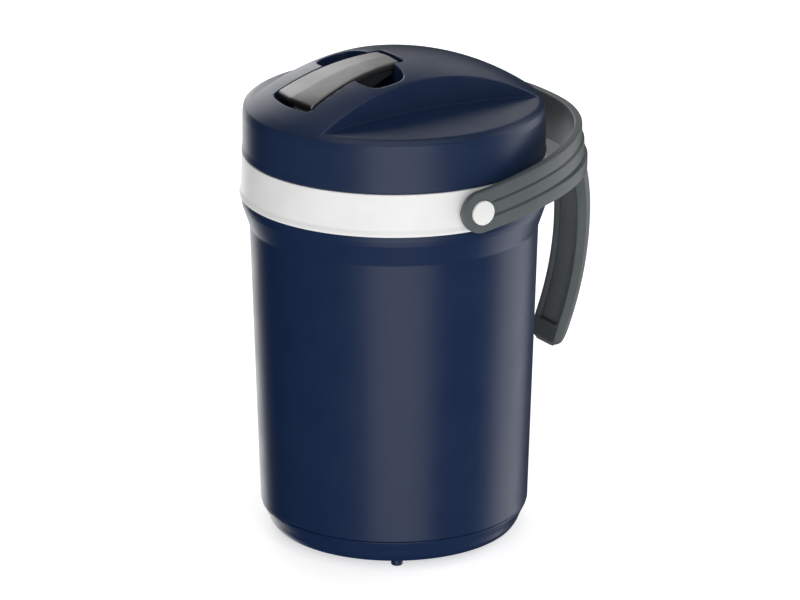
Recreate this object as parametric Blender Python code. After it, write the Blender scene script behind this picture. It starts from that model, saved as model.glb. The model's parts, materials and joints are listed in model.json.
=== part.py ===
"""Five-litre insulated water jug with a twist-lock lid, a rocking pour lever and a bail handle.

Metres, +Z up, on the floor at z = 0. The jug's axis is Z, the pouring side faces -Y, and the
handle turns about the X axis line through its two pivot pins and hangs on the +Y side.
"""

import math

import bmesh
import bpy
from mathutils import Matrix, Vector

MM = 0.001
GAP = 0.3  # air left between pieces that touch, mm
RUN = 0.1  # running clearance round the pins, mm
STEPS = 60  # facets round the visible turned pieces
INNER_STEPS = 40  # facets round the hidden ones

# Body, mm
FLOOR_Z = 2.0  # underside of the base, which stands on feet
FOOT_RADIUS = 4.0
FOOT_CIRCLE = 77.0
WALL_BOTTOM = (90.0, 20.5)
WALL_TOP = (95.4, 208.0)
SHELL_WALL = 2.2
SHOULDER_TOP_Z = 235.2
COLLAR_BOTTOM_Z = 235.5
COLLAR_TOP_Z = 263.5
NECK_RADIUS = 87.8
NECK_TOP_Z = 280.2
RIM_TOP_Z = 284.5  # pouring rim of the liner
LINER_RADIUS = 79.0

# Lid, mm
LID_RADIUS = 99.7
LID_BOTTOM_Z = 263.8
LID_RIM_Z = 295.0
DOME_RADIUS = 166.1
DOME_CENTRE_Z = 162.3
LID_WALL = 2.4
SCOOP_CROWN_Z = 304.8  # the scoop's floor is a flatter dome of this height
SCOOP_FLOOR_RADIUS = 718.0
SCOOP_CHORD = 46.6  # how far the scoop's wall stands from the axis at 300 high
SCOOP_LEAN = 0.118
DISH_CENTRE_Y = -26.0
DISH_POWER = 3.5
SLOT_FLOOR_Z = 297.5
SPOUT_Y = -64.0
LEVER_AXIS = (-47.0, 314.0)  # y, z
LEVER_FRONT = -75.5
LEVER_REAR = -4.2
LEVER_BOW = 3.8  # how far the middle of the lever's front edge stands ahead of its corners
SLOT_REAR = -1.2
SLOT_SIDE = 1.8  # gap beside the lever
LEVER_PIN = 2.0
RAMP_LEAD = 9.0  # rise of the lid's locking ramps over a full turn
RAMP_TURN = 56.0  # degrees, each of the collar's three ramps
LUG_TURN = 40.0  # degrees, each of the lid's three lugs
LUG_LAG = 8.0  # degrees from a ramp's low end to its lug when the lid is shut
RAMP_STARTS = (1.7, 121.7, 241.7)
RAMP_Z = 268.6
LUG_DROP = 2.4  # from a ramp's middle down to its lug's

# Handle, mm
PIVOT_Z = 249.5
HOOP_SIDE = 104.0  # inner half-width
HOOP_BACK = 114.5  # inner reach at the back
HOOP_POWER = 2.5
HOOP_THICK = 5.5
HOOP_END = 14.0  # radius of the rounded ends
HOOP_RISE = 0.18
PIN_RADIUS = 5.0
PIN_HEAD = 8.1


def material(name, colour, roughness, metallic=0.0):
    made = bpy.data.materials.new(name)
    made.use_nodes = True
    shader = made.node_tree.nodes["Principled BSDF"]
    shader.inputs["Base Color"].default_value = (*colour, 1.0)
    shader.inputs["Roughness"].default_value = roughness
    shader.inputs["Metallic"].default_value = metallic
    made.diffuse_color = (*colour, 1.0)
    return made


def make_object(name, bm, look=None, angle=35.0):
    """The bmesh, given in millimetres, as a named object with outward normals."""
    bmesh.ops.recalc_face_normals(bm, faces=bm.faces)
    bmesh.ops.scale(bm, vec=(MM, MM, MM), verts=bm.verts)
    mesh = bpy.data.meshes.new(name)
    bm.to_mesh(mesh)
    bm.free()
    made = bpy.data.objects.new(name, mesh)
    bpy.context.scene.collection.objects.link(made)
    if look:
        mesh.materials.append(look)
    shade(made, angle)
    return made


def shade(made, angle):
    """Smooth shading that stays sharp where two faces meet at more than this angle."""
    for face in made.data.polygons:
        face.use_smooth = True
    made.data.set_sharp_from_angle(angle=math.radians(angle))


def rings(bm, loops, closed_loop=False, caps=True):
    """Faces between successive closed loops of points, with the ends capped or joined."""
    rows = [[bm.verts.new(p) for p in loop] for loop in loops]
    pairs = list(zip(rows, rows[1:]))
    if closed_loop:
        pairs.append((rows[-1], rows[0]))
    for a, b in pairs:
        n = len(a)
        for i in range(n):
            bm.faces.new((a[i], a[(i + 1) % n], b[(i + 1) % n], b[i]))
    if caps and not closed_loop:
        bm.faces.new(list(reversed(rows[0])))
        bm.faces.new(rows[-1])


def turned(name, profile, look=None, steps=STEPS, centre=(0.0, 0.0), angle=35.0):
    """A closed outline of (radius, height) points turned about the vertical through centre."""
    bm = bmesh.new()
    turns = [2 * math.pi * k / steps for k in range(steps)]
    rows = []
    for radius, height in profile:
        if radius < 1e-6:
            rows.append([bm.verts.new((centre[0], centre[1], height))])
            continue
        rows.append(
            [
                bm.verts.new((centre[0] + radius * math.cos(t), centre[1] + radius * math.sin(t), height))
                for t in turns
            ]
        )
    for a, b in zip(rows, rows[1:] + rows[:1]):
        if len(a) == 1 and len(b) == 1:
            continue
        for k in range(steps):
            n = (k + 1) % steps
            corners = [a[k % len(a)], a[n % len(a)], b[n % len(b)], b[k % len(b)]]
            distinct = list(dict.fromkeys(corners))
            bm.faces.new(distinct)
    return make_object(name, bm, look, angle)


def prism(name, outline, low, high, look=None, axis="Z", angle=35.0):
    """A flat outline drawn out between two heights along X or Z."""
    bm = bmesh.new()
    if axis == "Z":
        loops = [[(x, y, h) for x, y in outline] for h in (low, high)]
    else:
        loops = [[(h, y, z) for y, z in outline] for h in (low, high)]
    rings(bm, loops)
    return make_object(name, bm, look, angle)


def rod(name, centre, radii, look=None, steps=28, angle=35.0):
    """A turned bar along X: (x, radius) stations about the line through centre (y, z)."""
    bm = bmesh.new()
    turns = [2 * math.pi * (k + 0.37) / steps for k in range(steps)]
    loops = [[(x, centre[0] + r * math.cos(t), centre[1] + r * math.sin(t)) for t in turns] for x, r in radii]
    rings(bm, loops)
    return make_object(name, bm, look, angle)


def boolean(target, other, operation):
    """Applies an exact Boolean of other to target and removes other."""
    step = target.modifiers.new("step", "BOOLEAN")
    step.operation = operation
    step.solver = "EXACT"
    step.object = other
    graph = bpy.context.evaluated_depsgraph_get()
    result = bpy.data.meshes.new_from_object(target.evaluated_get(graph))
    target.modifiers.remove(step)
    old = target.data
    target.data = result
    result.name = target.name
    bpy.data.meshes.remove(old)
    bpy.data.objects.remove(other)
    return target


def cut(target, *tools):
    for tool in tools:
        boolean(target, tool, "DIFFERENCE")
    shade(target, 35.0)
    return target


def join(target, *others):
    for other in others:
        boolean(target, other, "UNION")
    shade(target, 35.0)
    return target


def ramp(name, radius, reach, start, turn_deg, bottom, thick=1.5):
    """One helical ridge standing out from radius by reach, or inwards where reach is negative."""
    bm = bmesh.new()
    stations = 8
    root = radius - 0.4 * math.copysign(1.0, reach)
    loops = []
    for k in range(stations + 1):
        along = k / stations
        t = math.radians(start + turn_deg * along)
        fade = 0.25 + 0.75 * min(1.0, 6 * along, 6 * (1 - along))
        tip = radius + reach * fade
        z = bottom + RAMP_LEAD * turn_deg * along / 360
        section = [(root, z - thick), (tip, z - 0.45 * thick), (tip, z + 0.45 * thick), (root, z + thick)]
        loops.append([(r * math.cos(t), r * math.sin(t), h) for r, h in section])
    rings(bm, loops)
    return make_object(name, bm)


# ---- body ----


def outer_shell(look):
    top = SHOULDER_TOP_Z
    profile = [
        WALL_BOTTOM,
        WALL_TOP,
        (95.9, 211.0),
        (97.2, 214.5),
        (100.2, 227.0),
        (101.0, 231.5),
        (101.1, top),
        (98.9, top),
        (98.9, top + 3.9),
        (97.0, top + 3.9),
        (97.0, 229.0),
        (94.4, 214.8),
        (WALL_TOP[0] - SHELL_WALL, 208.0),
        (WALL_BOTTOM[0] - SHELL_WALL, WALL_BOTTOM[1]),
    ]
    return turned("outer_shell", profile, look)


def base_cover(look):
    joint = WALL_BOTTOM[1] - GAP
    profile = [
        (10.4, FLOOR_Z),
        (70.0, FLOOR_Z),
        (77.0, 2.3),
        (81.5, 4.2),
        (84.4, 7.6),
        (86.0, 12.0),
        (90.0, joint),
        (87.4, joint),
        (87.4, 27.0),
        (85.2, 27.0),
        (85.2, joint),
        (83.6, 13.0),
        (82.2, 9.0),
        (79.6, 6.2),
        (76.0, 4.8),
        (70.0, 4.5),
        (10.4, 4.5),
    ]
    cover = turned("base_cover", profile, look)
    for turn in (60.0, 180.0, 300.0):
        t = math.radians(turn)
        spot = (FOOT_CIRCLE * math.sin(t), -FOOT_CIRCLE * math.cos(t))
        foot = [(0.0, 0.0), (FOOT_RADIUS - 0.6, 0.0), (FOOT_RADIUS, 0.6), (FOOT_RADIUS, 4.0), (0.0, 4.0)]
        join(cover, turned("foot", foot, steps=20, centre=spot))
    return cover


def base_plug(look):
    flange = FLOOR_Z - GAP
    profile = [(0.0, 0.0), (15.2, 0.0), (16.0, 0.8), (16.0, flange), (10.0, flange), (10.0, 6.0), (0.0, 6.0)]
    return turned("base_plug", profile, look, steps=INNER_STEPS)


def foam_insulation(look):
    profile = [
        (0.0, 6.6),
        (78.6, 6.9),
        (81.7, 9.6),
        (83.1, 13.2),
        (84.8, 20.6),
        (84.8, 27.6),
        (87.5, 27.7),
        (92.8, 207.8),
        (94.0, 215.0),
        (96.6, 229.0),
        (96.6, 239.4),
        (82.0, 239.4),
        (82.0, 210.0),
        (79.4, 33.0),
        (75.4, 26.2),
        (66.0, 23.4),
        (0.0, 23.4),
    ]
    return turned("foam_insulation", profile, look, steps=INNER_STEPS)


def inner_liner(look):
    bore = LINER_RADIUS
    profile = [
        (0.0, 24.0),
        (65.6, 24.0),
        (74.6, 26.9),
        (78.6, 33.4),
        (81.2, 210.0),
        (81.2, 282.3),
        (87.5, 282.3),
        (87.8, 283.2),
        (86.9, RIM_TOP_Z),
        (80.4, RIM_TOP_Z),
        (bore, 283.2),
        (bore, 210.0),
        (76.4, 34.0),
        (72.8, 28.8),
        (64.8, 26.2),
        (0.0, 26.2),
    ]
    return turned("inner_liner", profile, look, steps=INNER_STEPS)


def rim_seal(look):
    low, high = NECK_TOP_Z + GAP, 282.0
    profile = [(85.0, low), (87.6, low), (87.6, high), (85.0, high)]
    return turned("rim_seal", profile, look, steps=INNER_STEPS)


def collar(look):
    profile = [
        (102.4, COLLAR_BOTTOM_Z),
        (102.3, COLLAR_BOTTOM_Z + 1.6),
        (101.3, COLLAR_BOTTOM_Z + 4.0),
        (100.3, COLLAR_TOP_Z - 0.6),
        (99.7, COLLAR_TOP_Z),
        (NECK_RADIUS, COLLAR_TOP_Z),
        (NECK_RADIUS, NECK_TOP_Z),
        (84.8, NECK_TOP_Z),
        (84.8, 240.0),
        (NECK_RADIUS, 240.0),
        (NECK_RADIUS, 260.4),
        (97.6, 260.4),
        (99.4, COLLAR_BOTTOM_Z),
    ]
    ring = turned("collar", profile, look)
    for start in RAMP_STARTS:
        join(ring, ramp("ramp", NECK_RADIUS, 1.7, start, RAMP_TURN, RAMP_Z))
    for side in (1.0, -1.0):
        boss = rod("boss", (0.0, PIVOT_Z), [(side * 87.0, 9.8), (side * 102.8, 9.8), (side * 103.5, 9.2)])
        bore = rod("bore", (0.0, PIVOT_Z), [(side * 91.0, PIN_RADIUS + RUN), (side * 106.0, PIN_RADIUS + RUN)])
        join(ring, boss)
        cut(ring, bore)
    return ring


# ---- handle ----


def pivot_pin(name, side, look):
    stations = [
        (91.4, PIN_RADIUS - 0.6),
        (92.0, PIN_RADIUS),
        (107.1, PIN_RADIUS),
        (107.1, PIN_HEAD),
        (110.3, PIN_HEAD),
        (110.9, PIN_HEAD - 0.5),
        (111.3, PIN_HEAD - 1.6),
        (111.5, PIN_HEAD - 4.0),
    ]
    return rod(name, (0.0, PIVOT_Z), [(side * x, r) for x, r in stations], look)


def hoop_point(grow, turn):
    """Plan position and outward direction on the hoop's inner outline grown outwards by grow."""
    a, b = HOOP_SIDE, HOOP_BACK
    c, s = math.cos(turn), math.sin(turn)
    power = 2 / HOOP_POWER
    x = a * math.copysign(abs(c) ** power, c)
    y = b * abs(s) ** power
    across = abs(x / a) ** (HOOP_POWER - 1) / a * math.copysign(1, x)
    slope = Vector((across, abs(y / b) ** (HOOP_POWER - 1) / b))
    slope.normalize()
    return x + slope.x * grow, y + slope.y * grow


def smooth(value, low, high):
    t = min(1.0, max(0.0, (value - low) / (high - low)))
    return t * t * (3 - 2 * t)


def hoop_section(plan, centre_z, half, lean, banded):
    """One cross-section of the hoop: plan(grow) gives the place that far out from the inner face."""
    groove = 1.3 if banded else 0.0
    low = HOOP_THICK + 2 * lean
    mid = HOOP_THICK + lean - (0.3 if banded else 0.0)
    edge = min(1.0, 0.45 * half)
    band = 0.36 * half
    outline = [
        (0.0, -half + edge),
        (0.0, half - edge),
        (edge, half),
        (HOOP_THICK - edge, half),
        (HOOP_THICK, half - edge),
        (HOOP_THICK, band + 0.06 * half),
        (HOOP_THICK - groove, band),
        (mid - groove, band - 0.03 * half),
        (mid, band - 0.09 * half),
        (mid, -band + 0.09 * half),
        (mid - groove, -band + 0.03 * half),
        (low - lean - groove, -band),
        (low, -band - 0.06 * half),
        (low, -half + edge),
        (low - edge, -half),
        (edge, -half),
    ]
    return [(*plan(grow), centre_z + rise) for grow, rise in outline]


def hoop(look):
    stations = []
    for k in range(8):
        y = -HOOP_END * math.cos(math.radians(8 + 82 * k / 7))
        stations.append((lambda g, y=y: (HOOP_SIDE + g, y), y, math.sqrt(HOOP_END**2 - y * y), False))
    turns = [math.radians(t) for t in (1.2, 3, 6, 10, 15, 21, 28, 35, 42, 49, 56, 63, 70, 77, 84, 90)]
    for turn in turns:
        y = hoop_point(0.0, turn)[1]
        plan = lambda g, t=turn: hoop_point(g, t)
        stations.append((plan, y, HOOP_END + 2.0 * y / HOOP_BACK, y > 12.0))
    half = []
    for plan, y, height, banded in stations:
        lean = 2.0 * smooth(y, 45.0, 110.0)
        half.append(hoop_section(plan, PIVOT_Z + HOOP_RISE * max(0.0, y), height, lean, banded))
    other = [[(-x, y, z) for x, y, z in loop] for loop in reversed(half[:-1])]
    bm = bmesh.new()
    rings(bm, half + other)
    return make_object("handle_frame", bm, look)


# y, z of the grip's middle line, then half its depth, from inside the hoop's back to the free end
GRIP_LINE = [
    (121.0, 266.0, 4.6),
    (126.0, 256.0, 6.8),
    (133.0, 243.0, 7.4),
    (139.0, 230.0, 7.2),
    (142.2, 214.0, 6.9),
    (143.0, 196.0, 6.7),
    (141.8, 176.0, 6.5),
    (138.6, 156.0, 6.4),
    (133.6, 137.0, 6.3),
    (127.6, 120.0, 6.2),
    (123.6, 110.5, 6.0),
    (121.4, 105.5, 4.9),
    (120.3, 102.8, 3.0),
]


def grip_frames():
    """Middle point, unit vector across the depth (outwards) and half depth at each station."""
    frames = []
    for k, (y, z, depth) in enumerate(GRIP_LINE):
        before = GRIP_LINE[max(0, k - 1)]
        after = GRIP_LINE[min(len(GRIP_LINE) - 1, k + 1)]
        along = Vector((after[0] - before[0], after[1] - before[1])).normalized()
        frames.append(((y, z), Vector((-along.y, along.x)), depth))
    return frames


def grip_loops(outline):
    """The (across, share of depth) outline carried along the grip, narrowed to a round end."""
    loops = []
    narrow = {len(GRIP_LINE) - 3: 0.98, len(GRIP_LINE) - 2: 0.9, len(GRIP_LINE) - 1: 0.72}
    for k, ((y, z), out, depth) in enumerate(grip_frames()):
        wide = narrow.get(k, 1.0)
        loops.append([(x * wide, y + out.x * d * depth, z + out.y * d * depth) for x, d in outline])
    return loops


def grip(look):
    outline = [
        (-14.0, -1.0),
        (-15.0, -0.8),
        (-15.0, 0.1),
        (-11.5, 0.85),
        (-9.0, 1.0),
        (9.0, 1.0),
        (11.5, 0.85),
        (15.0, 0.1),
        (15.0, -0.8),
        (14.0, -1.0),
    ]
    bm = bmesh.new()
    rings(bm, grip_loops(outline))
    return make_object("grip", bm, look)


def strip_loops(first, last, half, near, far):
    """A flat strip down the grip's inner face, between two distances measured inwards from it."""
    loops = []
    for k, ((y, z), out, depth) in enumerate(grip_frames()):
        if first <= k <= last:
            inner = Vector((y, z)) - out * (depth - near)
            outer = Vector((y, z)) - out * (depth - far)
            loops.append(
                [
                    (-half, inner.x, inner.y),
                    (half, inner.x, inner.y),
                    (half, outer.x, outer.y),
                    (-half, outer.x, outer.y),
                ]
            )
    return loops


def handle_frame(look):
    frame = hoop(look)
    join(frame, grip(None))
    for side in (1.0, -1.0):
        hole = rod("hole", (0.0, PIVOT_Z), [(side * 100.0, PIN_RADIUS + RUN), (side * 115.0, PIN_RADIUS + RUN)])
        sink = rod("sink", (0.0, PIVOT_Z), [(side * 106.8, PIN_HEAD + GAP), (side * 115.0, PIN_HEAD + GAP)])
        cut(frame, hole, sink)
    channel = bmesh.new()
    rings(channel, strip_loops(3, 9, 11.4, -2.0, 4.6))
    cut(frame, make_object("channel", channel))
    return frame


def grip_cover(look):
    bm = bmesh.new()
    loops = strip_loops(3, 9, 11.4 - GAP, 0.4, 4.6 - GAP)
    for loop, inset in ((0, 0.4), (-1, 0.4)):
        toward = loops[1] if loop == 0 else loops[-2]
        ends = [Vector(p) for p in loops[loop]]
        step = (Vector(toward[0]) - ends[0]).normalized() * inset
        loops[loop] = [tuple(p + step) for p in ends]
    rings(bm, loops)
    return make_object("grip_cover", bm, look)


# ---- lid ----


def dome(radius):
    """The dome's height at this distance from the axis."""
    return DOME_CENTRE_Z + math.sqrt(DOME_RADIUS**2 - radius**2)


def scoop_tool(side, thick):
    """The hand scoop at one side of the lid, grown by thick."""
    bm = bmesh.new()
    loops = []
    top = 345.0
    for k in range(17):
        y = -106.0 + 212.0 * k / 16
        chord = SCOOP_CHORD - thick
        floor = []
        for x in (chord, 58.0, 70.0, 82.0, 94.0, 116.0):
            drop = SCOOP_FLOOR_RADIUS - math.sqrt(SCOOP_FLOOR_RADIUS**2 - x * x - y * y)
            floor.append((side * x, y, SCOOP_CROWN_Z - thick - drop))
        loops.append([*floor, (side * 116.0, y, top), (side * (chord - SCOOP_LEAN * (top - 300.0)), y, top)])
    rings(bm, loops)
    return make_object("scoop", bm)


def dish_tool(thick):
    """The finger dish at both sides of the lever's rear, grown by thick."""
    bm = bmesh.new()
    levels = [  # height, half-width, half-length
        (301.0, 29.0, 10.0),
        (304.0, 33.0, 13.5),
        (308.0, 36.0, 15.3),
        (314.0, 38.0, 16.1),
        (345.0, 40.5, 16.8),
    ]
    loops = []
    for height, wide, long in levels:
        drop = thick if height < 345.0 else 0.0
        loop = []
        for k in range(36):
            t = 2 * math.pi * k / 36
            c, s = math.cos(t), math.sin(t)
            across = math.copysign(abs(c) ** (2 / DISH_POWER), c)
            along = math.copysign(abs(s) ** (2 / DISH_POWER), s)
            loop.append(((wide + thick) * across, DISH_CENTRE_Y + (long + thick) * along, height - drop))
        loops.append(loop)
    rings(bm, loops)
    return make_object("dish", bm)


def slot_tool(thick):
    """The slot that the lever lies in, grown by thick."""
    wide = SLOT_SIDE + thick
    rear, front = SLOT_REAR + thick, LEVER_FRONT - 2.9 - thick
    outline = [(lever_half(SLOT_REAR) + wide - 2.0, rear), (lever_half(-6.0) + wide, rear - 2.0)]
    outline += [(lever_half(y) + wide, y) for y in (-26.0, -47.0, -68.0)]
    corner = lever_half(LEVER_FRONT) + wide
    outline += [(corner, front + 3.5), (corner - 2.4, front - 0.2)]
    outline += [(x, front - LEVER_BOW * (1 - (x / 21.4) ** 2)) for x in (16.0, 8.0)]
    outline += [(0.0, front - LEVER_BOW)]
    outline += [(-x, y) for x, y in reversed(outline[:-1])]
    return prism("slot", outline, SLOT_FLOOR_Z - thick, 345.0)


def pockets(target, thick):
    """Takes every hollow of the lid's top, grown by thick, out of target."""
    return cut(target, scoop_tool(1.0, thick), scoop_tool(-1.0, thick), dish_tool(thick), slot_tool(thick))


def dome_profile(inset, wall_radius, bottom, rim):
    """A solid with the dome's shape, inset below its surface."""
    reach = DOME_RADIUS - inset
    count = 7
    curve = []
    for k in range(count):
        radius = wall_radius * (1 - k / count)
        curve.append((radius, DOME_CENTRE_Z + math.sqrt(reach**2 - radius**2)))
    return [(0.0, bottom), *rim, *curve, (0.0, DOME_CENTRE_Z + reach)]


def lid_shell(look):
    wall = [
        (100.4, LID_BOTTOM_Z),
        (100.4, LID_BOTTOM_Z + 1.5),
        (99.8, LID_BOTTOM_Z + 5.0),
        (LID_RADIUS, LID_RIM_Z - 2.0),
        (99.2, LID_RIM_Z - 0.8),
    ]
    shell = turned("lid_shell", dome_profile(0.0, 98.2, LID_BOTTOM_Z, wall), look)
    inside = [(97.3, 255.0), (97.3, LID_RIM_Z - 3.6)]
    cavity = turned("cavity", dome_profile(LID_WALL, 96.0, 255.0, inside))
    pockets(cavity, LID_WALL)
    pockets(shell, 0.0)
    cut(shell, cavity)
    y, z = LEVER_AXIS
    cut(shell, rod("bearing", (y, z), [(-21.9, LEVER_PIN + RUN), (21.9, LEVER_PIN + RUN)], steps=20))
    passage = [(0.0, 280.0), (9.0 + GAP, 280.0), (9.0 + GAP, 299.0), (0.0, 299.0)]
    cut(shell, turned("passage", passage, steps=32, centre=(0.0, SPOUT_Y)))
    return shell


def lid_foam(look):
    gap = LID_WALL + GAP
    rim = [(96.6, 290.6), (96.6, 291.2)]
    foam = turned("lid_foam", dome_profile(gap, 95.5, 290.6, rim), look, steps=INNER_STEPS)
    pockets(foam, gap)
    passage = [(0.0, 280.0), (9.0 + GAP, 280.0), (9.0 + GAP, 299.0), (0.0, 299.0)]
    return cut(foam, turned("passage", passage, steps=32, centre=(0.0, SPOUT_Y)))


def lid_liner(look):
    profile = [
        (0.0, 286.6),
        (90.2, 286.6),
        (90.2, 265.4),
        (91.0, 264.6),
        (92.6, 264.6),
        (92.6, 286.8),
        (97.0, 288.0),
        (97.0, 290.2),
        (0.0, 290.2),
    ]
    disc = turned("lid_liner", profile, look, steps=STEPS)
    low = RAMP_Z - LUG_DROP + RAMP_LEAD * LUG_LAG / 360
    for start in RAMP_STARTS:
        join(disc, ramp("lug", 90.2, -1.7, start + LUG_LAG, LUG_TURN, low))
    hole = [(0.0, 280.0), (9.0 + GAP, 280.0), (9.0 + GAP, 299.0), (0.0, 299.0)]
    return cut(disc, turned("hole", hole, steps=32, centre=(0.0, SPOUT_Y)))


def lid_gasket(look):
    low, high = RIM_TOP_Z + GAP, 286.3
    profile = [(79.6, low), (88.2, low), (88.6, high), (79.2, high)]
    return turned("lid_gasket", profile, look, steps=INNER_STEPS)


def spout_tube(look):
    profile = [
        (7.0, 283.6),
        (11.6, 283.6),
        (12.0, 284.0),
        (12.0, 286.3),
        (9.0, 286.3),
        (9.0, 299.6),
        (8.6, 300.2),
        (7.4, 300.2),
        (7.0, 299.8),
    ]
    return turned("spout_tube", profile, look, steps=32, centre=(0.0, SPOUT_Y))


def spout_seal(look):
    disc = [(0.0, 300.5), (9.6, 300.5), (10.4, 301.2), (10.4, 303.2)]
    stem = [(4.0, 303.2), (4.0, 305.8), (0.0, 305.8)]
    profile = disc + stem
    return turned("spout_seal", profile, look, steps=32, centre=(0.0, SPOUT_Y))


def lever_top(y):
    """Height of the lever's upper face along its length, just under the dome's crown line."""
    return dome(abs(y)) - 0.7


def lever_half(y):
    return 21.4 - 7.75 * (y - LEVER_FRONT) / (LEVER_REAR - LEVER_FRONT)


def lever_plate(look):
    stations = [LEVER_FRONT, LEVER_FRONT + 1.5, -70.0, -64.0, -57.0, -50.0, -42.0, -34.0, -26.0, -18.0, -11.0]
    stations += [LEVER_REAR - 1.5, LEVER_REAR]
    loops = []
    for k, y in enumerate(stations):
        end = k in (0, len(stations) - 1)
        top = lever_top(y) - (0.9 if end else 0.0)
        half = lever_half(y) - (1.0 if end else 0.0)
        skirt = lever_top(y) - 4.2
        inner = half - (1.6 if end else 2.4)
        under = top - (2.1 if end else 3.0)
        right = [(half / 2, top - 0.1), (half - 1.1, top - 0.6)]
        crown = [*((-x, z) for x, z in reversed(right)), (0.0, top), *right]
        below = [(inner, under), (half / 2, under), (0.0, under), (-half / 2, under), (-inner, under)]
        outline = [(-half, skirt), (-half, top - 1.5), *crown, (half, top - 1.5), (half, skirt)]
        outline += [(inner, skirt), *below, (-inner, skirt)]
        bow = LEVER_BOW * (1 - smooth(y, LEVER_FRONT, -60.0))
        loops.append([(x, y - bow * (1 - min(1.0, abs(x) / half) ** 2), z) for x, z in outline])
    bm = bmesh.new()
    rings(bm, loops)
    return make_object("lever_plate", bm, look)


def lever_body(look):
    stations = [
        (-73.0, 303.5),
        (-66.0, 303.5),
        (-56.0, 303.5),
        (-50.0, 303.4),
        (-44.0, 303.4),
        (-38.0, 304.4),
        (-30.0, 309.0),
        (-22.0, 314.0),
        (-14.0, 317.2),
        (-7.5, 319.4),
    ]
    loops = []
    for y, low in stations:
        half = lever_half(y) - 2.4 - GAP
        high = lever_top(y) - 3.0 - GAP
        loops.append([(-half, y, low), (-half, y, high), (half, y, high), (half, y, low)])
    bm = bmesh.new()
    rings(bm, loops)
    body = make_object("lever_body", bm, look)
    y, z = LEVER_AXIS
    cut(body, rod("pin_hole", (y, z), [(-26.0, LEVER_PIN + RUN), (26.0, LEVER_PIN + RUN)], steps=20))
    socket = [(0.0, 300.0), (4.0 + GAP, 300.0), (4.0 + GAP, 306.1), (0.0, 306.1)]
    return cut(body, turned("socket", socket, steps=32, centre=(0.0, SPOUT_Y)))


def lever_pin(look):
    stations = [(-21.6, LEVER_PIN - 0.4), (-21.2, LEVER_PIN), (21.2, LEVER_PIN), (21.6, LEVER_PIN - 0.4)]
    return rod("lever_pin", LEVER_AXIS, stations, look, steps=20)


def clear_scene():
    for old in list(bpy.data.objects):
        bpy.data.objects.remove(old)


def place_origin(made, point):
    """Moves the object's origin to a point in metres without moving its mesh."""
    shift = Vector(point)
    made.data.transform(Matrix.Translation(-shift))
    made.location = shift


def build():
    clear_scene()
    navy = material("navy_plastic", (0.012, 0.030, 0.085), 0.38)
    white = material("white_plastic", (0.78, 0.78, 0.77), 0.35)
    liner_white = material("liner_plastic", (0.70, 0.71, 0.70), 0.45)
    grey = material("grey_plastic", (0.085, 0.100, 0.105), 0.45)
    dark = material("dark_plastic", (0.030, 0.034, 0.040), 0.5)
    silver = material("silver_lever", (0.42, 0.42, 0.42), 0.3, 0.8)
    steel = material("steel_pin", (0.55, 0.55, 0.55), 0.3, 1.0)
    rubber = material("silicone", (0.45, 0.46, 0.46), 0.7)
    foam = material("foam", (0.75, 0.66, 0.42), 0.9)
    pieces = [
        outer_shell(navy),
        base_cover(navy.copy()),
        base_plug(dark),
        foam_insulation(foam),
        inner_liner(liner_white),
        rim_seal(rubber),
        collar(white),
        pivot_pin("pivot_pin_right", 1.0, white.copy()),
        pivot_pin("pivot_pin_left", -1.0, white.copy()),
        lid_shell(navy.copy()),
        lid_foam(foam.copy()),
        lid_liner(liner_white.copy()),
        lid_gasket(rubber.copy()),
        spout_tube(liner_white.copy()),
    ]
    levers = [spout_seal(rubber.copy()), lever_plate(silver), lever_body(dark.copy()), lever_pin(steel)]
    handle = [handle_frame(grey), grip_cover(grey.copy())]
    for piece in handle:
        place_origin(piece, (0.0, 0.0, PIVOT_Z * MM))
    for piece in levers:
        place_origin(piece, (0.0, LEVER_AXIS[0] * MM, LEVER_AXIS[1] * MM))
    return pieces + levers + handle


build()
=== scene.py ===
"""Looks of the five-litre insulated jug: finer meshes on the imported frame, plastics, studio and camera.

Lengths in this file are millimetres unless a name ends in _M; the frame itself is in metres.
The jug's axis is Z, the pouring side faces -Y and the grip hangs on the +Y side.
"""

import json
import math

import bmesh
import bpy
import numpy as np
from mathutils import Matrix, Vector


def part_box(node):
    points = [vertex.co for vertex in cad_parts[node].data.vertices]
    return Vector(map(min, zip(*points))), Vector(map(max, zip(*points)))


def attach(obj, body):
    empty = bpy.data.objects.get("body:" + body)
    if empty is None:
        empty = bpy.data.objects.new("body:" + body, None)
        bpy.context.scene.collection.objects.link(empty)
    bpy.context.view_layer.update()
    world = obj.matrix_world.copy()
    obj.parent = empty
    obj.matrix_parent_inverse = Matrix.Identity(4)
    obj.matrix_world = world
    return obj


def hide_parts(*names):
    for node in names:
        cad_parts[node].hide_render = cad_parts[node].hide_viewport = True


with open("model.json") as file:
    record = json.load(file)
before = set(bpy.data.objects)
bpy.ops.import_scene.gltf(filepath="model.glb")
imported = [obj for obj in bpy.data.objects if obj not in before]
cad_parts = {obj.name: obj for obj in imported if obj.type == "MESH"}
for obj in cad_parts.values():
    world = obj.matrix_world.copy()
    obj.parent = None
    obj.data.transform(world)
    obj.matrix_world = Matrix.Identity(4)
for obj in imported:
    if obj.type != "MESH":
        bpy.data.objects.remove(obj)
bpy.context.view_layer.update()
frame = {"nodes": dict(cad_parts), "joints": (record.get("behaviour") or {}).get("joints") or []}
MM = 0.001
ROUND = 192  # facets round the large turned pieces


def joint_place(name):
    """A joint's position in millimetres."""
    joint = next(j for j in frame["joints"] if j["name"] == name)
    return Vector(joint["pos_m"]) / MM


def node_box(name):
    low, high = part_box(name)
    return low / MM, high / MM


SHELL = node_box("outer_shell")
COLLAR = node_box("collar")
LID = node_box("lid_shell")
PIN = node_box("pivot_pin_right")
PIVOT = joint_place("handle_swing")
LEVER_AXIS = joint_place("lever_rock")

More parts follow.
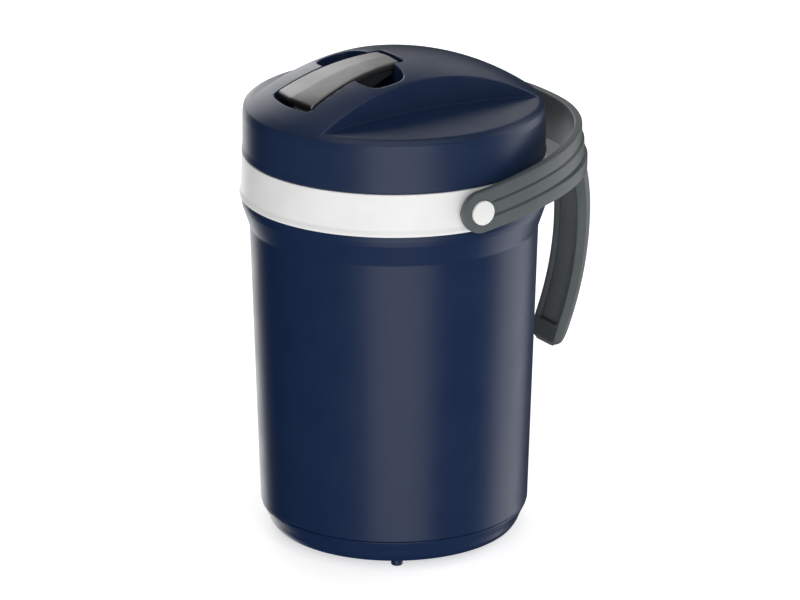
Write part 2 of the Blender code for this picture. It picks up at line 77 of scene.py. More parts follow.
# Body
GAP = 0.3
WALL_BOTTOM_R = 90.0
WALL_TOP_R = 95.4
SHOULDER_R = SHELL[1].x
SPIGOT = 3.9
SHELL_WALL = 2.2
SHOULDER_TOP_Z = SHELL[1].z - SPIGOT
BASE_JOINT_Z = SHELL[0].z - GAP
FLOOR_Z = 2.0
FOOT_CIRCLE = 77.0
FOOT_R = 4.0
FOOT_EDGE = 1.2  # radius of a foot's rounded lower edge
FEET = (60.0, 180.0, 300.0)

# Collar and its ramps
COLLAR_R = 102.4
COLLAR_LOW = COLLAR[0].z
COLLAR_EDGE_Z = 263.5
NECK_R = 87.8
NECK_INNER_R = 84.8
BOSS_R = 9.8
RAMP_LEAD = 9.0
RAMP_TURN = 56.0
RAMP_STARTS = (1.7, 121.7, 241.7)
RAMP_Z = 268.6

# Lid
LID_LOW = LID[0].z
LID_TOP = LID[1].z
LID_R = 99.7
DOME_R = 166.1
DOME_CENTRE_Z = LID_TOP - DOME_R
LID_WALL = 2.4
CHAMFER_FOOT = (98.7, 295.6)  # radius and height of the rim chamfer's lower edge
CHAMFER_TOP = (95.8, 298.0)
SCOOP_CROWN_Z = 304.8  # the scoops' floor is a flatter dome of this height
SCOOP_FLOOR_R = 718.0
SCOOP_CHORD = 46.6  # how far a scoop's wall stands from the axis at WALL_Z
SCOOP_LEAN = 0.118
WALL_Z = 300.0
SLOT_FLOOR_Z = 297.5
SPOUT_Y = -64.0
DISH_Y = -26.0
DISH_POWER = 3.5
SLOT_REAR = -1.2
SLOT_SIDE = 1.8  # gap beside the lever
LEVER_FRONT = -75.5
LEVER_REAR = -4.2
LEVER_BOW = 3.8  # how far the middle of the lever's front edge stands ahead of its corners
BEARING_HALF = 21.9

# Handle
HOOP_SIDE = 104.0
HOOP_BACK = 114.5
HOOP_POWER = 2.5
HOOP_THICK = 5.5
HOOP_END = 14.0
HOOP_RISE = 0.18
PIN_R = 5.0
PIN_HEAD_R = 8.1
PIN_HEAD_RISE = 0.8  # how far the head's middle stands out past its rim
PIN_INNER = 91.4  # where the pin starts along X
PIN_SEAT = 107.1  # where the underside of the pin's head lies along X


# ---- meshes ----


def link(name, mesh, body, node, angle=35.0):
    """A shown piece that rides on a body and stands for a CAD node."""
    for face in mesh.polygons:
        face.use_smooth = True
    if angle:
        mesh.set_sharp_from_angle(angle=math.radians(angle))
    piece = bpy.data.objects.new(name, mesh)
    bpy.context.scene.collection.objects.link(piece)
    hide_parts(node)
    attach(piece, body)
    return piece


def mesh_from(name, bm):
    """A mesh in metres from a bmesh in millimetres."""
    bmesh.ops.recalc_face_normals(bm, faces=bm.faces)
    bmesh.ops.scale(bm, vec=(MM, MM, MM), verts=bm.verts)
    mesh = bpy.data.meshes.new(name)
    bm.to_mesh(mesh)
    bm.free()
    return mesh


def loft(bm, loops):
    """Faces between successive closed loops, with both ends capped."""
    rows = [[bm.verts.new(p) for p in loop] for loop in loops]
    for a, b in zip(rows, rows[1:]):
        n = len(a)
        for i in range(n):
            bm.faces.new((a[i], a[(i + 1) % n], b[(i + 1) % n], b[i]))
    bm.faces.new(list(reversed(rows[0])))
    bm.faces.new(rows[-1])


def turn(bm, profile, centre=(0.0, 0.0), steps=ROUND, axis="Z"):
    """A closed (radius, height) outline turned about Z, or about X, along which its height then runs."""
    rows = []
    for radius, height in profile:
        count = 1 if radius < 1e-6 else steps
        row = []
        for k in range(count):
            t = 2 * math.pi * (k + 0.5) / steps
            a, b = centre[0] + radius * math.cos(t), centre[1] + radius * math.sin(t)
            row.append(bm.verts.new((a, b, height) if axis == "Z" else (height, a, b)))
        rows.append(row)
    for a, b in zip(rows, rows[1:] + rows[:1]):
        if len(a) == 1 and len(b) == 1:
            continue
        for k in range(steps):
            n = (k + 1) % steps
            corners = [a[k % len(a)], a[n % len(a)], b[n % len(b)], b[k % len(b)]]
            bm.faces.new(list(dict.fromkeys(corners)))


def rounded(points, pieces=4):
    """An outline of (a, b, corner radius) points with its corners turned into arcs."""
    outline = []
    count = len(points)
    for k, (a, b, radius) in enumerate(points):
        here = Vector((a, b))
        before = Vector(points[k - 1][:2]) - here
        after = Vector(points[(k + 1) % count][:2]) - here
        if radius <= 0:
            outline.append((a, b))
            continue
        shorter = min(before.length, after.length)
        run = radius / math.tan(before.angle(after) / 2)
        run = min(max(run, 0.05 * shorter), 0.49 * shorter)
        first, last = here + before.normalized() * run, here + after.normalized() * run
        for i in range(pieces + 1):
            t = i / pieces
            p = first * (1 - t) ** 2 + here * 2 * t * (1 - t) + last * t**2
            outline.append((p.x, p.y))
    return outline


def smooth(value, low, high):
    t = min(1.0, max(0.0, (value - low) / (high - low)))
    return t * t * (3 - 2 * t)


def spline(points, count):
    """Points along a Catmull-Rom curve through the given tuples, evenly shared between its spans."""
    data = np.array(points, float)
    padded = np.vstack([2 * data[0] - data[1], data, 2 * data[-1] - data[-2]])
    result = []
    for u in np.linspace(0, len(points) - 1, count):
        i = min(int(u), len(points) - 2)
        t = u - i
        a, b, c, d = padded[i : i + 4]
        square, cube = 2 * a - 5 * b + 4 * c - d, 3 * b - a - 3 * c + d
        result.append(0.5 * (2 * b + (c - a) * t + square * t**2 + cube * t**3))
    return result


# ---- body ----


def body_wall():
    top = SHOULDER_TOP_Z
    profile = rounded(
        [
            (WALL_BOTTOM_R, SHELL[0].z, 0.9),
            (WALL_TOP_R + 0.2, 213.8, 1.6),
            (100.5, 228.4, 3.0),
            (SHOULDER_R, 231.5, 2.0),
            (SHOULDER_R, top, 0.5),
            (98.9, top, 0.2),
            (98.9, SHELL[1].z, 0.3),
            (97.0, SHELL[1].z, 0.3),
            (97.0, 229.0, 3.0),
            (WALL_TOP_R - SHELL_WALL + 0.2, 214.6, 2.0),
            (WALL_BOTTOM_R - SHELL_WALL, SHELL[0].z, 0.3),
        ],
        6,
    )
    bm = bmesh.new()
    turn(bm, profile)
    return link("body_wall", mesh_from("body_wall", bm), "jug", "outer_shell")


def base():
    joint = BASE_JOINT_Z
    profile = rounded(
        [
            (10.4, FLOOR_Z, 0.3),
            (74.0, FLOOR_Z, 10.0),
            (82.0, 4.2, 5.0),
            (84.6, 8.4, 6.0),
            (86.4, 13.0, 6.0),
            (89.9, joint, 0.9),
            (87.4, joint, 0.2),
            (87.4, 27.0, 0.4),
            (85.2, 27.0, 0.4),
            (85.2, joint, 1.0),
            (83.6, 13.0, 4.0),
            (79.6, 6.2, 4.0),
            (70.0, 4.5, 4.0),
            (10.4, 4.5, 0.3),
        ],
        6,
    )
    bm = bmesh.new()
    turn(bm, profile)
    for angle in FEET:
        t = math.radians(angle)
        spot = (FOOT_CIRCLE * math.sin(t), -FOOT_CIRCLE * math.cos(t))
        foot = [(0.0, 0.0)]
        for a in np.linspace(0, math.pi / 2, 5):
            foot.append((FOOT_R - FOOT_EDGE + FOOT_EDGE * math.sin(a), FOOT_EDGE - FOOT_EDGE * math.cos(a)))
        turn(bm, [*foot, (FOOT_R, 4.0), (0.0, 4.0)], spot, 32)
    return link("base_bowl", mesh_from("base_bowl", bm), "jug", "base_cover")


def helix_ridge(bm, radius, reach, start, turn_deg, bottom, thick=1.5):
    """One helical ridge with run-out ends, standing out from radius by reach."""
    stations = 40
    root = radius - 0.4 * math.copysign(1.0, reach)
    loops = []
    for k in range(stations + 1):
        along = k / stations
        t = math.radians(start + turn_deg * along)
        fade = 0.25 + 0.75 * min(smooth(along, 0, 0.16), smooth(1 - along, 0, 0.16))
        tip = radius + reach * fade
        z = bottom + RAMP_LEAD * turn_deg * along / 360
        section = rounded(
            [(root, -thick, 0), (tip, -0.45 * thick, 0.3), (tip, 0.45 * thick, 0.3), (root, thick, 0)], 3
        )
        loops.append([(r * math.cos(t), r * math.sin(t), z + h) for r, h in section])
    loft(bm, loops)


def collar():
    low, edge, top = COLLAR_LOW, COLLAR_EDGE_Z, COLLAR[1].z
    profile = rounded(
        [
            (COLLAR_R, low, 0.4),
            (102.3, low + 1.6, 1.4),
            (101.3, low + 4.0, 3.0),
            (100.2, edge, 0.9),
            (NECK_R, edge, 0.8),
            (NECK_R, top, 0.6),
            (NECK_INNER_R, top, 0.4),
            (NECK_INNER_R, low + 4.5, 0.3),
            (NECK_R, low + 4.5, 0.3),
            (NECK_R, 260.4, 0.8),
            (97.6, 260.4, 0.8),
            (99.4, low, 0.3),
        ],
        5,
    )
    bm = bmesh.new()
    turn(bm, profile)
    for start in RAMP_STARTS:
        helix_ridge(bm, NECK_R, 1.7, start, RAMP_TURN, RAMP_Z)
    for side in (1.0, -1.0):
        reach = COLLAR[1].x
        boss = rounded(
            [
                (PIN_R + 0.1, 96.0, 0),
                (PIN_R + 0.1, reach, 0.3),
                (BOSS_R, reach, 0.9),
                (BOSS_R, 96.0, 0),
            ]
        )
        turn(bm, [(r, side * x) for r, x in boss], (0.0, PIVOT.z), 64, axis="X")
    return link("collar_ring", mesh_from("collar_ring", bm), "jug", "collar")


def pivot_pin(name, side, node):
    """The pin with its slightly domed head."""
    tip = PIN[1].x
    head = [(PIN_HEAD_R * k, tip - PIN_HEAD_RISE * k * k) for k in np.linspace(0.0, 0.85, 7)]
    outline = rounded(
        [
            (0.0, PIN_INNER, 0),
            (PIN_R - 0.6, PIN_INNER, 0),
            (PIN_R, PIN_INNER + 0.6, 0.2),
            (PIN_R, PIN_SEAT, 0),
            (PIN_HEAD_R, PIN_SEAT, 0.4),
            (PIN_HEAD_R, tip - PIN_HEAD_RISE, 0.7),
            head[-1] + (0,),
        ]
    )
    profile = outline + [(r, x) for r, x in reversed(head[:-1])]
    bm = bmesh.new()
    turn(bm, [(r, side * x) for r, x in profile], (0.0, PIVOT.z), 72, axis="X")
    return link(name, mesh_from(name, bm), "jug", node)


# ---- handle ----


def hoop_plan(grow, angle):
    """Plan position on the hoop's inner outline, grown outwards by grow."""
    c, s = math.cos(angle), math.sin(angle)
    power = 2 / HOOP_POWER
    x = HOOP_SIDE * math.copysign(abs(c) ** power, c)
    y = HOOP_BACK * abs(s) ** power
    lean = HOOP_POWER - 1
    across = abs(x / HOOP_SIDE) ** lean / HOOP_SIDE
    out = Vector((across, abs(y / HOOP_BACK) ** lean / HOOP_BACK)).normalized()
    return x + math.copysign(out.x, x) * grow, y + out.y * grow


def hoop_outline(half, lean, deep):
    """The hoop's section as (out from its inner face, height): three bands with grooves between them."""
    edge = min(1.4, 0.42 * half)
    band = 0.36 * half
    low = HOOP_THICK + 2 * lean
    mid = HOOP_THICK + lean - 0.3 * min(1.0, deep)
    return rounded(
        [
            (0.0, -half, edge),
            (0.0, half, edge),
            (HOOP_THICK, half, edge),
            (HOOP_THICK, band + 0.05 * half, 0.5),
            (HOOP_THICK - deep, band, 0.2),
            (mid - deep, band - 0.04 * half, 0.2),
            (mid, band - 0.10 * half, 0.6),
            (mid, -band + 0.10 * half, 0.6),
            (mid - deep, -band + 0.04 * half, 0.2),
            (low - lean - deep, -band, 0.2),
            (low, -band - 0.05 * half, 0.6),
            (low, -half, edge),
        ],
        4,
    )


def hoop_stations():
    """(plan function, y, half height) from the right-hand rounded end to the middle of the back."""
    stations = []
    for a in np.linspace(4, 90, 26):
        y = -HOOP_END * math.cos(math.radians(a))
        stations.append((lambda g, y=y: (HOOP_SIDE + g, y), y, math.sqrt(HOOP_END**2 - y * y)))
    for a in np.concatenate([np.linspace(0.6, 6, 8), np.linspace(7.5, 90, 56)]):
        angle = math.radians(a)
        y = hoop_plan(0.0, angle)[1]
        stations.append((lambda g, t=angle: hoop_plan(g, t), y, HOOP_END + 2.0 * y / HOOP_BACK))
    return stations


GRIP_LINE = [  # y, z of the grip's middle, then half its depth
    (121.0, 266.0, 4.6),
    (126.0, 256.0, 6.8),
    (133.0, 243.0, 7.4),
    (139.0, 230.0, 7.2),
    (142.2, 214.0, 6.9),
    (143.0, 196.0, 6.7),
    (141.8, 176.0, 6.5),
    (138.6, 156.0, 6.4),
    (133.6, 137.0, 6.3),
    (127.6, 120.0, 6.2),
    (124.3, 112.4, 5.6),
    (122.4, 108.3, 4.3),
    (121.3, 106.0, 2.3),
]
GRIP_HALF = 15.0
INLAY_HALF = 10.6
INLAY_SUNK = 2.2  # how far the panel lies below the rim round it
INLAY_BED = 5.0
INLAY_SLANT = 2.0
INLAY_SPAN = (3, 9)  # places on GRIP_LINE between which the inlay lies


def grip_frames(count=97):
    """(place along GRIP_LINE, middle point, outward direction, half depth) at even stations."""
    line = spline(GRIP_LINE, count)
    frames = []
    for k, (y, z, depth) in enumerate(line):
        before, after = line[max(0, k - 1)], line[min(count - 1, k + 1)]
        along = Vector((after[0] - before[0], after[1] - before[1])).normalized()
        place = k * (len(GRIP_LINE) - 1) / (count - 1)
        frames.append((place, Vector((y, z)), Vector((-along.y, along.x)), depth))
    return frames


def grip_loops():
    loops = []
    for place, mid, out, depth in grip_frames():
        end = smooth(place, 9.6, 12.0)
        wide = 1.0 - 0.42 * end**2
        sunk = 1.0 if INLAY_SPAN[0] <= place <= INLAY_SPAN[1] else 0.0
        bed = -depth + INLAY_BED * sunk
        ledge = -depth + INLAY_SUNK * sunk
        outline = rounded(
            [
                (-INLAY_HALF, bed, 0.0),
                (-INLAY_HALF - 0.02, ledge, 0.3),
                (-INLAY_HALF - INLAY_SLANT, -depth, 0.4),
                (-GRIP_HALF, -depth, 1.4),
                (-GRIP_HALF, 0.1 * depth, 2.5),
                (-10.5, depth, 3.0),
                (10.5, depth, 3.0),
                (GRIP_HALF, 0.1 * depth, 2.5),
                (GRIP_HALF, -depth, 1.4),
                (INLAY_HALF + INLAY_SLANT, -depth, 0.4),
                (INLAY_HALF + 0.02, ledge, 0.3),
                (INLAY_HALF, bed, 0.0),
            ],
            5,
        )
        loops.append([(x * wide, mid.x + out.x * d, mid.y + out.y * d) for x, d in outline])
    return loops


def pin_recess(side):
    """The stepped hole in the hoop that a pivot pin and its head lie in."""
    bm = bmesh.new()
    bore, recess = PIN_R + 0.1, PIN_HEAD_R + 0.35
    start, step, end = 98.0, PIN_SEAT - GAP, 120.0
    profile = [(0.0, start), (bore, start), (bore, step), (recess, step), (recess, end), (0.0, end)]
    turn(bm, [(r, side * x) for r, x in profile], (0.0, PIVOT.z), 72, axis="X")
    made = bpy.data.objects.new("pin_recess", mesh_from("pin_recess", bm))
    bpy.context.scene.collection.objects.link(made)
    return made


def handle():
    """The bail hoop and, in one with it, the hanging grip."""
    half = []
    for plan, y, height in hoop_stations():
        lean = 2.0 * smooth(y, 45.0, 110.0)
        deep = 1.3 * smooth(y, 5.5, 9.0)
        centre = PIVOT.z + HOOP_RISE * max(0.0, y)
        half.append([(*plan(g), centre + rise) for g, rise in hoop_outline(height, lean, deep)])
    other = [[(-x, y, z) for x, y, z in loop] for loop in reversed(half[:-1])]
    bm = bmesh.new()
    loft(bm, half + other)
    hoop = bpy.data.objects.new("hoop_draft", mesh_from("hoop_draft", bm))
    bpy.context.scene.collection.objects.link(hoop)
    for side in (1.0, -1.0):
        cutter = pin_recess(side)
        applied(hoop, "BOOLEAN", operation="DIFFERENCE", object=cutter, solver="EXACT")
        bpy.data.objects.remove(cutter)
    bm = bmesh.new()
    bm.from_mesh(hoop.data)
    bpy.data.objects.remove(hoop)
    bmesh.ops.scale(bm, vec=(1 / MM, 1 / MM, 1 / MM), verts=bm.verts)
    loft(bm, grip_loops())
    return link("handle_hoop", mesh_from("handle_hoop", bm), "handle", "handle_frame", 40.0)


def grip_inlay():
    """The soft panel let into the grip's inner face."""
    bm = bmesh.new()
    loops = []
    half = INLAY_HALF - GAP
    first, last = INLAY_SPAN
    for place, mid, out, depth in grip_frames():
        if not first <= place <= last:
            continue
        end = min(1.0, (place - first) / 0.12, (last - place) / 0.12)
        proud = -depth + INLAY_SUNK + 0.9 * (1 - end)
        bed = -depth + INLAY_BED - GAP
        outline = rounded([(-half, bed, 0), (-half, proud, 0.7), (half, proud, 0.7), (half, bed, 0)], 4)
        loops.append([(x, mid.x + out.x * d, mid.y + out.y * d) for x, d in outline])
    loft(bm, loops)
    return link("grip_inlay", mesh_from("grip_inlay", bm), "handle", "grip_cover")


# ---- lid: a fine voxel mesh of the CAD lid, settled onto exact rounded surfaces ----


def blend_max(a, b, width):
    """The larger of two fields, with the corner between them rounded over width."""
    return np.maximum(a, b) + np.maximum(width - np.abs(a - b), 0) ** 2 / (4 * width)


def blend_min(a, b, width):
    return -blend_max(-a, -b, width)


def scoop_field(x, y, z):
    """Negative inside the hand scoops at the two sides of the lid."""
    wall = (SCOOP_CHORD - SCOOP_LEAN * (z - WALL_Z) - np.abs(x)) / math.hypot(1.0, SCOOP_LEAN)
    drop = SCOOP_FLOOR_R - np.sqrt(np.maximum(SCOOP_FLOOR_R**2 - x**2 - y**2, 0.0))
    return blend_max(wall, SCOOP_CROWN_Z - drop - z, 0.7)


def dish_field(x, y, z):
    """Negative inside the finger dish at both sides of the lever's rear."""
    heights = [301.0, 304.0, 308.0, 314.0, 345.0]
    wide = np.interp(z, heights, [29.0, 33.0, 36.0, 38.0, 40.5])
    long = np.interp(z, heights, [10.0, 13.5, 15.3, 16.1, 16.8])
    reach = (np.abs(x) / wide) ** DISH_POWER + (np.abs(y - DISH_Y) / long) ** DISH_POWER
    return blend_max((reach ** (1 / DISH_POWER) - 1.0) * long, 301.0 - z, 2.4)


def slot_field(x, y, z):
    """Negative inside the slot that the lever lies in."""
    front = LEVER_FRONT - 2.9 - LEVER_BOW * (1.0 - (x / lever_half(LEVER_FRONT)) ** 2) - y
    side = blend_max(np.abs(x) - lever_half(y) - SLOT_SIDE, front, 3.0)
    side = blend_max(side, y - SLOT_REAR, 2.5)
    return blend_max(side, SLOT_FLOOR_Z - z, 0.8)


def lid_field(p):
    """Negative inside the lid shell's material, in millimetres."""
    x, y, z = p.T
    radius = np.hypot(x, y)
    dome = np.sqrt(radius**2 + (z - DOME_CENTRE_Z) ** 2) - DOME_R
    heights = [LID_LOW, LID_LOW + 1.5, LID_LOW + 5.0, 291.0, CHAMFER_FOOT[1]]
    wall = radius - np.interp(z, heights, [100.4, 100.4, 99.8, LID_R - 0.1, CHAMFER_FOOT[0] + 0.1])
    run, fall = CHAMFER_FOOT[0] - CHAMFER_TOP[0], CHAMFER_TOP[1] - CHAMFER_FOOT[1]
    chamfer = ((radius - CHAMFER_TOP[0]) * fall + (z - CHAMFER_TOP[1]) * run) / math.hypot(run, fall)
    outside = blend_max(blend_max(dome, wall, 0.6), chamfer, 0.4)
    pocket = blend_min(dish_field(x, y, z), slot_field(x, y, z), 0.6)
    top = blend_max(outside, -scoop_field(x, y, z), 0.9)
    top = blend_max(top, -pocket, 0.9)
    shell = np.maximum(blend_max(top, LID_LOW - z, 0.8), -(top + LID_WALL))
    passage = np.where(z < 299.0, np.hypot(x, y - SPOUT_Y) - 9.3, 9.0)
    bearing = np.where(np.abs(x) < BEARING_HALF, np.hypot(y - LEVER_AXIS.y, z - LEVER_AXIS.z) - 2.1, 9.0)
    return np.maximum(shell, -np.minimum(passage, bearing))


def field_slope(points, step=0.03):
    slope = np.zeros_like(points)
    for axis in range(3):
        shift = np.zeros(3)
        shift[axis] = step
        slope[:, axis] = (lid_field(points + shift) - lid_field(points - shift)) / (2 * step)
    return slope


def settle(mesh, rounds, reach):
    """Moves the mesh's points, by at most reach, onto the lid's exact surface."""
    start = np.empty(len(mesh.vertices) * 3)
    mesh.vertices.foreach_get("co", start)
    start = start.reshape(-1, 3) / MM
    points = start.copy()
    for _ in range(rounds):
        slope = field_slope(points)
        length = np.maximum((slope**2).sum(1), 0.25)
        points -= (lid_field(points) / length)[:, None] * slope
        move = points - start
        far = np.linalg.norm(move, axis=1)
        points = start + move * np.minimum(1.0, reach / np.maximum(far, 1e-9))[:, None]
    mesh.vertices.foreach_set("co", (points * MM).ravel())
    mesh.update()
    return points


def applied(piece, kind, **settings):
    """The piece's mesh with one modifier applied."""
    step = piece.modifiers.new("step", kind)
    for key, value in settings.items():
        setattr(step, key, value)
    graph = bpy.context.evaluated_depsgraph_get()
    mesh = bpy.data.meshes.new_from_object(piece.evaluated_get(graph))
    piece.modifiers.clear()
    piece.data = mesh
    return mesh


def lid():
    """The domed lid shell with its scoops, lever slot and finger dish."""
    draft = bpy.data.objects.new("lid_draft", frame["nodes"]["lid_shell"].data.copy())
    bpy.context.scene.collection.objects.link(draft)
    voxel = 0.85 * MM
    mesh = applied(draft, "REMESH", mode="VOXEL", voxel_size=voxel, use_smooth_shade=True)
    settle(mesh, 6, 0.9)
    mesh = applied(draft, "DECIMATE", ratio=0.42)
    points = settle(mesh, 4, 0.4)
    slope = field_slope(points, 0.08)
    slope /= np.maximum(np.linalg.norm(slope, axis=1), 1e-6)[:, None]
    bpy.data.objects.remove(draft)
    mesh.name = "lid_dome"
    piece = link("lid_dome", mesh, "lid", "lid_shell", 0)
    mesh.normals_split_custom_set_from_vertices(slope)
    return piece


# ---- lever ----


def lever_top(y):
    """The lever's upper face follows the dome's crown line, just under it."""
    return DOME_CENTRE_Z + math.sqrt(DOME_R**2 - y * y) - 0.5


def lever_half(y):
    return 21.4 - 7.75 * (y - LEVER_FRONT) / (LEVER_REAR - LEVER_FRONT)


def lever_stations(front, rear):
    near = [front + d for d in (0.0, 0.12, 0.35, 0.7, 1.1, 1.6)]
    far = [rear - d for d in (1.6, 1.1, 0.7, 0.35, 0.12, 0.0)]
    return near + list(np.linspace(front + 3.0, rear - 3.0, 40)) + far


def lever_cap():
    """The satin plate over the lever, curved along and across, with a turned-down skirt."""
    loops = []
    for y in lever_stations(LEVER_FRONT, LEVER_REAR):
        inward = min(y - LEVER_FRONT, LEVER_REAR - y)
        drop = 1.2 * (1 - math.sqrt(1 - (1 - min(1.0, inward / 1.6)) ** 2))
        top = lever_top(y) - drop
        half = lever_half(y) - 0.8 * drop
        skirt = lever_top(y) - 4.2
        inner = half - 2.2
        under = top - 2.9
        outline = rounded(
            [
                (-half, skirt, 0.4),
                (-half, top - 0.3, 1.3),
                (0.0, top + 0.6, 30.0),
                (half, top - 0.3, 1.3),
                (half, skirt, 0.4),
                (inner, skirt, 0.3),
                (inner, under, 0.3),
                (-inner, under, 0.3),
                (-inner, skirt, 0.3),
            ],
            6,
        )
        bow = LEVER_BOW * (1.0 - smooth(y, LEVER_FRONT, LEVER_FRONT + 15.0))
        loops.append([(x, y - bow * (1 - min(1.0, abs(x) / half) ** 2), z) for x, z in outline])
    bm = bmesh.new()
    loft(bm, loops)
    return link("lever_cap", mesh_from("lever_cap", bm), "lever", "lever_plate", 40.0)


# ---- materials ----


def nodes_of(name):
    made = bpy.data.materials.new(name)
    made.use_nodes = True
    tree = made.node_tree
    return made, tree, tree.nodes["Principled BSDF"]


def noise(tree, coords, scale, detail=2.0, rough=0.5):
    made = tree.nodes.new("ShaderNodeTexNoise")
    made.inputs["Scale"].default_value = scale
    made.inputs["Detail"].default_value = detail
    made.inputs["Roughness"].default_value = rough
    tree.links.new(coords, made.inputs["Vector"])
    return made.outputs["Fac"]


def ranged(tree, value, low, high, to_low, to_high):
    made = tree.nodes.new("ShaderNodeMapRange")
    made.inputs["From Min"].default_value = low
    made.inputs["From Max"].default_value = high
    made.inputs["To Min"].default_value = to_low
    made.inputs["To Max"].default_value = to_high
    tree.links.new(value, made.inputs["Value"])
    return made.outputs["Result"]


def mixed(tree, value, first, second):
    made = tree.nodes.new("ShaderNodeMix")
    made.data_type = "RGBA"
    made.inputs[6].default_value = (*first, 1.0)
    made.inputs[7].default_value = (*second, 1.0)
    tree.links.new(value, made.inputs[0])
    return made.outputs[2]


def bump(tree, height, strength, distance, under=None):
    made = tree.nodes.new("ShaderNodeBump")
    made.inputs["Strength"].default_value = strength
    made.inputs["Distance"].default_value = distance
    tree.links.new(height, made.inputs["Height"])
    if under:
        tree.links.new(under, made.inputs["Normal"])
    return made.outputs["Normal"]


def coordinates(tree, scale=(1.0, 1.0, 1.0)):
    """Object coordinates in metres, stretched by scale."""
    source = tree.nodes.new("ShaderNodeTexCoord")
    mapping = tree.nodes.new("ShaderNodeMapping")
    mapping.inputs["Scale"].default_value = scale
    tree.links.new(source.outputs["Object"], mapping.inputs["Vector"])
    return mapping.outputs["Vector"]


def plastic(name, colour, other, roughness, grain=900.0, grain_depth=0.02, coat=0.0, ior=1.46):
    """Moulded plastic: faint mottling in colour and gloss, a fine grain and slow waves in the wall."""
    made, tree, shader = nodes_of(name)
    coords = coordinates(tree)
    mottle = noise(tree, coords, 38.0, 4.0, 0.6)
    fine = noise(tree, coords, grain, 2.0)
    slow = noise(tree, coords, 22.0, 1.0)
    tone = ranged(tree, mottle, 0.3, 0.7, 0.0, 1.0)
    tree.links.new(mixed(tree, tone, colour, other), shader.inputs["Base Color"])
    gloss = ranged(tree, mottle, 0.25, 0.75, roughness - 0.03, roughness + 0.04)
    tree.links.new(gloss, shader.inputs["Roughness"])
    waves = bump(tree, slow, 0.25, 0.0004)
    tree.links.new(bump(tree, fine, 0.35, grain_depth * MM, waves), shader.inputs["Normal"])
    shader.inputs["IOR"].default_value = ior
    shader.inputs["Coat Weight"].default_value = coat
    shader.inputs["Coat Roughness"].default_value = 0.25
    return made


def brushed(name, colour, other, roughness, along=(1.0, 0.05, 1.0), metallic=1.0):
    """Satin metal with fine lines drawn out along one direction."""
    made, tree, shader = nodes_of(name)
    coords = coordinates(tree, along)
    lines = noise(tree, coords, 2600.0, 3.0)
    cloud = noise(tree, coordinates(tree), 60.0, 3.0)
    tone = ranged(tree, cloud, 0.3, 0.7, 0.0, 1.0)
    tree.links.new(mixed(tree, tone, colour, other), shader.inputs["Base Color"])
    gloss = ranged(tree, lines, 0.3, 0.7, roughness - 0.05, roughness + 0.07)
    tree.links.new(gloss, shader.inputs["Roughness"])
    tree.links.new(bump(tree, lines, 0.25, 0.006 * MM), shader.inputs["Normal"])
    shader.inputs["Metallic"].default_value = metallic
    return made


def foam_look(name):
    """Closed-cell foam: packed rounded cells of uneven size."""
    made, tree, shader = nodes_of(name)
    cells = tree.nodes.new("ShaderNodeTexVoronoi")
    cells.inputs["Scale"].default_value = 900.0
    tree.links.new(coordinates(tree), cells.inputs["Vector"])
    tone = ranged(tree, cells.outputs["Distance"], 0.0, 0.7, 0.0, 1.0)
    tree.links.new(mixed(tree, tone, (0.80, 0.72, 0.48), (0.66, 0.57, 0.34)), shader.inputs["Base Color"])
    tree.links.new(bump(tree, cells.outputs["Distance"], 0.6, 0.2 * MM), shader.inputs["Normal"])
    shader.inputs["Roughness"].default_value = 0.9
    return made


def dress():
    """Gives every piece and every CAD node that stays its material."""
    navy = plastic("navy_plastic", (0.0038, 0.0158, 0.0570), (0.0046, 0.0180, 0.0630), 0.34)
    lid_navy = plastic("lid_navy_plastic", (0.0070, 0.0200, 0.0600), (0.0085, 0.0225, 0.0660), 0.36)
    white = plastic("white_plastic", (0.76, 0.76, 0.755), (0.80, 0.80, 0.795), 0.36, grain_depth=0.01)
    pin_white = plastic("pin_white_plastic", (0.72, 0.72, 0.71), (0.76, 0.76, 0.75), 0.40, grain_depth=0.01)
    liner = plastic("liner_plastic", (0.70, 0.71, 0.70), (0.74, 0.75, 0.74), 0.42, grain_depth=0.01)
    grey = plastic("grey_plastic", (0.078, 0.092, 0.095), (0.090, 0.105, 0.108), 0.46, 1500.0, 0.04)
    # The grip panel has its own grey, lighter than the handle's, and that grey is lifted about half again
    # as painted light for the light its face towards the jug catches.
    inlay = plastic("inlay_grey_painted_light", (0.130, 0.146, 0.150), (0.145, 0.162, 0.166), 0.55, 1100.0, 0.08)
    dark = plastic("dark_plastic", (0.030, 0.033, 0.038), (0.040, 0.043, 0.048), 0.48, 1400.0, 0.04)
    rubber = plastic("silicone", (0.36, 0.37, 0.37), (0.42, 0.43, 0.43), 0.68, 700.0, 0.05)
    silver = brushed("satin_silver", (0.24, 0.24, 0.238), (0.27, 0.27, 0.268), 0.46)
    steel = brushed("drawn_steel", (0.55, 0.55, 0.56), (0.62, 0.62, 0.63), 0.28, (0.05, 1.0, 1.0))
    foam = foam_look("foam")
    looks = {
        "body_wall": navy,
        "base_bowl": navy,
        "collar_ring": white,
        "pin_right": pin_white,
        "pin_left": pin_white,
        "handle_hoop": grey,
        "grip_inlay": inlay,
        "lid_dome": lid_navy,
        "lever_cap": silver,
        "lever_body": dark,
        "lever_pin": steel,
        "base_plug": dark,
        "foam_insulation": foam,
        "lid_foam": foam,
        "inner_liner": liner,
        "lid_liner": liner,
        "spout_tube": liner,
        "rim_seal": rubber,
        "lid_gasket": rubber,
        "spout_seal": rubber,
    }
    for name, look in looks.items():
        shown = bpy.data.objects[name]
        if shown.material_slots:
            for place in shown.material_slots:
                place.material = look
        else:
            shown.data.materials.append(look)


# ---- studio ----

TARGET_M = Vector((0.0, 0.0, 0.155))
VIEW_AZIMUTH = 58.6
VIEW_ELEVATION = 19.1
VIEW_DISTANCE_M = 3.0
LENS_MM = 202.6


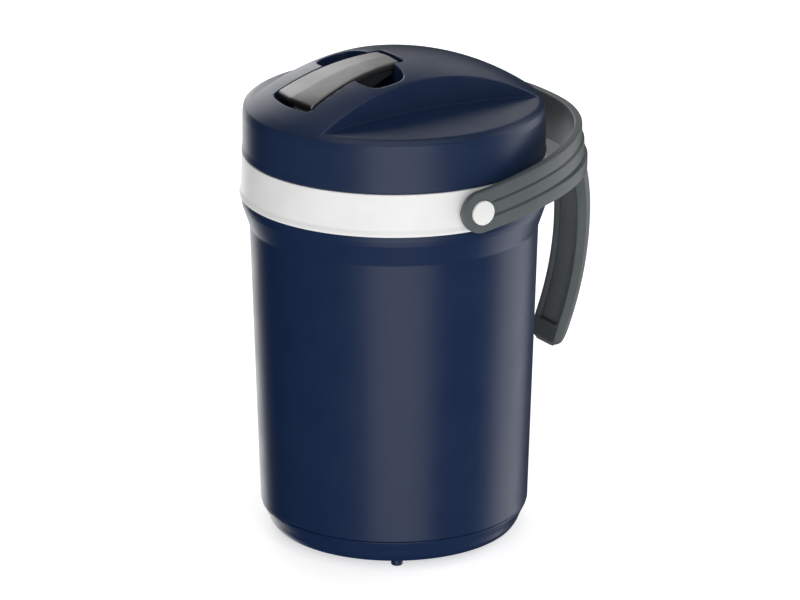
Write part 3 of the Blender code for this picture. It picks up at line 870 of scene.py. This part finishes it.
def direction(azimuth, elevation):
    """Unit vector from the jug; azimuth 0 is towards -Y and 90 towards +X."""
    a, e = math.radians(azimuth), math.radians(elevation)
    return Vector((math.sin(a) * math.cos(e), -math.cos(a) * math.cos(e), math.sin(e)))


def camera():
    data = bpy.data.cameras.new("camera")
    data.lens = LENS_MM
    data.sensor_width = 36.0
    data.shift_x = 0.0075
    data.shift_y = 0.0058
    data.clip_start, data.clip_end = 0.1, 50.0
    made = bpy.data.objects.new("camera", data)
    back = direction(VIEW_AZIMUTH, VIEW_ELEVATION)
    made.location = TARGET_M + back * VIEW_DISTANCE_M
    made.rotation_mode = "QUATERNION"
    made.rotation_quaternion = (-back).to_track_quat("-Z", "Y")
    bpy.context.scene.collection.objects.link(made)
    bpy.context.scene.camera = made


def softbox(name, turn_from_view, elevation, distance, size, radiance, aim=TARGET_M):
    """A rectangular panel, placed by its angle from the camera's side, facing aim."""
    data = bpy.data.lights.new(name, "AREA")
    data.shape = "RECTANGLE"
    data.size, data.size_y = size
    data.energy = radiance * math.pi * size[0] * size[1]
    made = bpy.data.objects.new(name, data)
    toward = direction(VIEW_AZIMUTH + turn_from_view, elevation)
    made.location = aim + toward * distance
    made.rotation_mode = "QUATERNION"
    made.rotation_quaternion = toward.to_track_quat("Z", "Y")
    bpy.context.scene.collection.objects.link(made)


def studio():
    softbox("front_panel", 4.0, 2.0, 1.6, (1.5, 3.0), 1.45)
    softbox("right_panel", 113.0, 0.0, 1.5, (1.2, 3.0), 1.5)
    softbox("back_left_panel", -158.0, 0.0, 1.5, (0.8, 3.0), 2.0)
    softbox("top_panel", -20.0, 78.0, 1.5, (1.3, 1.3), 0.9)
    softbox("back_panel", 180.0, 32.0, 1.8, (1.5, 0.9), 0.75)
    world = bpy.data.worlds.new("studio")
    bpy.context.scene.world = world
    world.use_nodes = True
    world.node_tree.nodes["Background"].inputs["Color"].default_value = (1.0, 1.0, 1.0, 1.0)
    world.node_tree.nodes["Background"].inputs["Strength"].default_value = 0.22
    world.cycles_visibility.glossy = False
    bpy.context.scene.view_settings.view_transform = "Standard"


def floor():
    """A pale floor that the panels light through, so that they can reach below it."""
    bm = bmesh.new()
    bmesh.ops.create_grid(bm, x_segments=8, y_segments=8, size=15000.0)
    made = bpy.data.objects.new("floor", mesh_from("floor", bm))
    bpy.context.scene.collection.objects.link(made)
    look, tree, shader = nodes_of("pale_floor")
    tone = noise(tree, coordinates(tree), 3.0, 2.0)
    tree.links.new(mixed(tree, tone, (0.86, 0.86, 0.86), (0.88, 0.88, 0.88)), shader.inputs["Base Color"])
    shader.inputs["Roughness"].default_value = 0.9
    shader.inputs["Specular IOR Level"].default_value = 0.0
    shader.inputs["Emission Color"].default_value = (1.0, 1.0, 1.0, 1.0)
    shader.inputs["Emission Strength"].default_value = 0.6
    made.data.materials.append(look)
    made.visible_glossy = False
    made.visible_shadow = False


def build():
    body_wall()
    base()
    collar()
    pivot_pin("pin_right", 1.0, "pivot_pin_right")
    pivot_pin("pin_left", -1.0, "pivot_pin_left")
    handle()
    grip_inlay()
    lid()
    lever_cap()
    dress()
    floor()
    studio()
    camera()


build()
